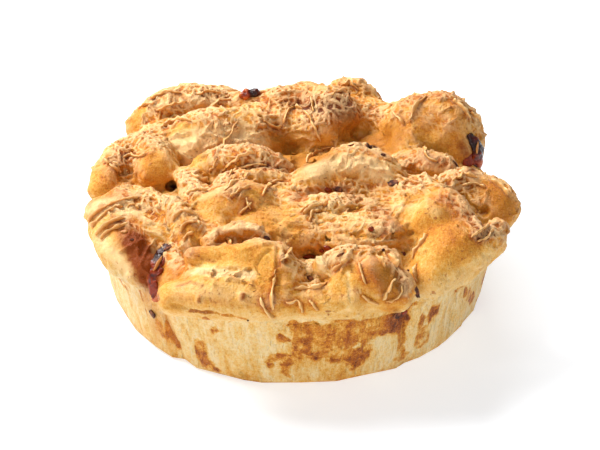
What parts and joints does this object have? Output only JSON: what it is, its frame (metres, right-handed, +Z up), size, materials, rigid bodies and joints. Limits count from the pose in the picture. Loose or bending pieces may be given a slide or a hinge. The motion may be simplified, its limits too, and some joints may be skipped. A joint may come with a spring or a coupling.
{
  "type": "pull-apart bread",
  "caption": "Round savoury pull-apart loaf baked in a tin, its heaped dough rolls covered in grated cheese, with red filling showing in the seams.",
  "frame": {"origin": "on the level of the flat underside, near its centre: the foot's centre is 1 mm towards +X and 1.8 mm towards -Y of it", "axes": "+Z up, the loaf's short way. -Y is the side towards the viewer of the picture, +X is the viewer's right."},
  "size_m": [0.2175, 0.2183, 0.0799],
  "materials": {
    "dough": "baked golden crust, satin on the smooth rolls, paler on the tin-baked wall",
    "filling": "dark red, moist and glossy"
  },
  "bodies": {
    "root": {"bread": "dough", "filling_left_front": "filling", "filling_right_back": "filling", "filling_back": "filling"}
  },
  "joints": []
}
